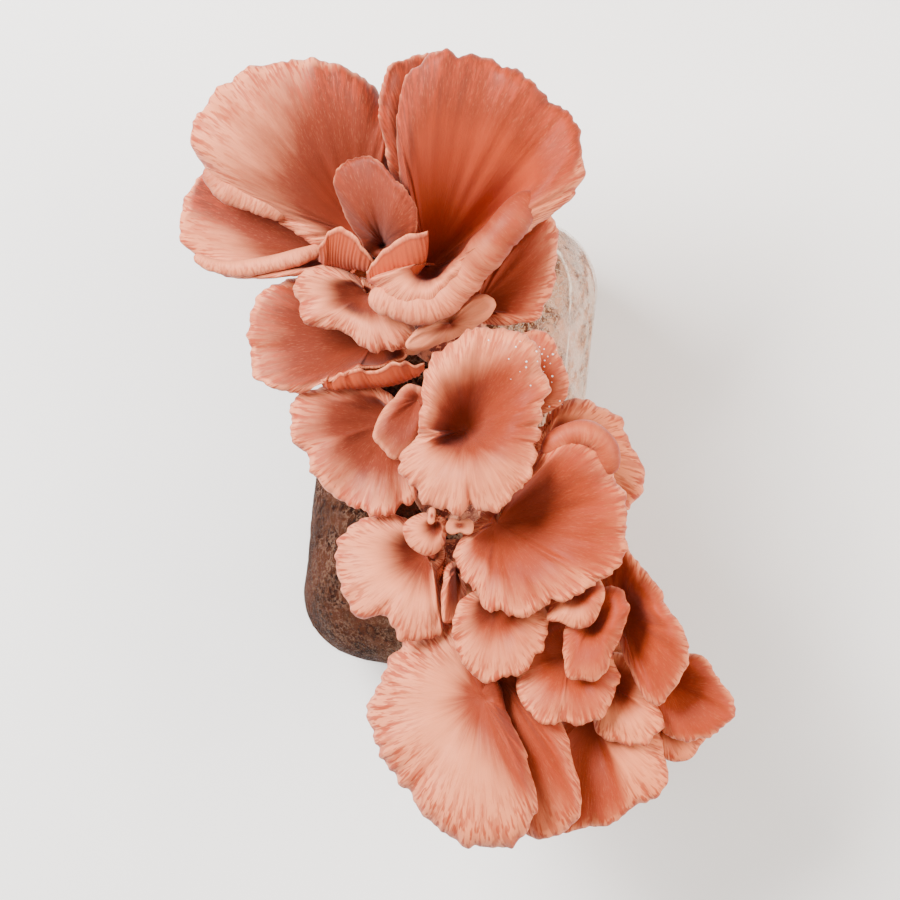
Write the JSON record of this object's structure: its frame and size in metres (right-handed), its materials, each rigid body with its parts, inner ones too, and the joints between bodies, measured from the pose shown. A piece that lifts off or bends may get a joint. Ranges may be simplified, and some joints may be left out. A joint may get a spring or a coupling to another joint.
{
  "type": "pink oyster mushroom grow kit",
  "caption": "Round block of grown-through sawdust in a clear film bag, lying on its back, with a dense heap of fan and funnel shaped pink mushrooms rising from its slit front.",
  "frame": {"origin": "middle of the flat strip along the back of the bag, on which it lies", "axes": "+Z up, out of the bag's slit front; +Y along the bag towards its folded end; +X to the right seen from above with +Y up"},
  "size_m": [0.2188, 0.2816, 0.1646],
  "materials": {
    "pink_flesh": "matt, velvety fungus flesh, salmon pink with a pale streaked margin",
    "orange_flesh": "matt, velvety fungus flesh, orange with a pale streaked margin",
    "stem_tissue": "matt, pale fused stems",
    "sawdust": "coarse damp sawdust, mottled with white mycelium",
    "clear_film": "thin clear film, glossy and creased"
  },
  "bodies": {
    "root": {"film_bag": "clear_film", "sawdust_block": "sawdust", "stem_knot_top": "stem_tissue", "stem_knot_middle": "stem_tissue", "stem_knot_bottom": "stem_tissue", "cap_low_tip": "orange_flesh", "fan_bottom_right": "orange_flesh", "fan_right_tip": "orange_flesh", "cap_low_right": "orange_flesh", "fan_bottom_gutter": "orange_flesh", "fan_bottom_left": "pink_flesh", "fan_right_tall": "orange_flesh", "cap_scalloped": "orange_flesh", "fan_lower_left": "pink_flesh", "sliver_lower": "pink_flesh", "cap_lower_middle": "pink_flesh", "cap_orange": "orange_flesh", "cap_lower_right": "orange_flesh", "fan_far_right": "orange_flesh", "cap_behind_funnel": "pink_flesh", "fan_middle_left": "pink_flesh", "young_cap_middle": "pink_flesh", "fan_left": "pink_flesh", "cap_upper_left": "pink_flesh", "shelf_left": "pink_flesh", "fan_top_left": "pink_flesh", "fan_top_back": "pink_flesh", "fan_upper_right": "orange_flesh", "bud_upper": "pink_flesh", "funnel_top": "pink_flesh", "young_cap_top": "pink_flesh", "fan_right": "orange_flesh", "cap_small_centre": "pink_flesh", "cup_centre": "pink_flesh", "bud_centre": "pink_flesh", "funnel_centre": "pink_flesh"}
  },
  "joints": []
}
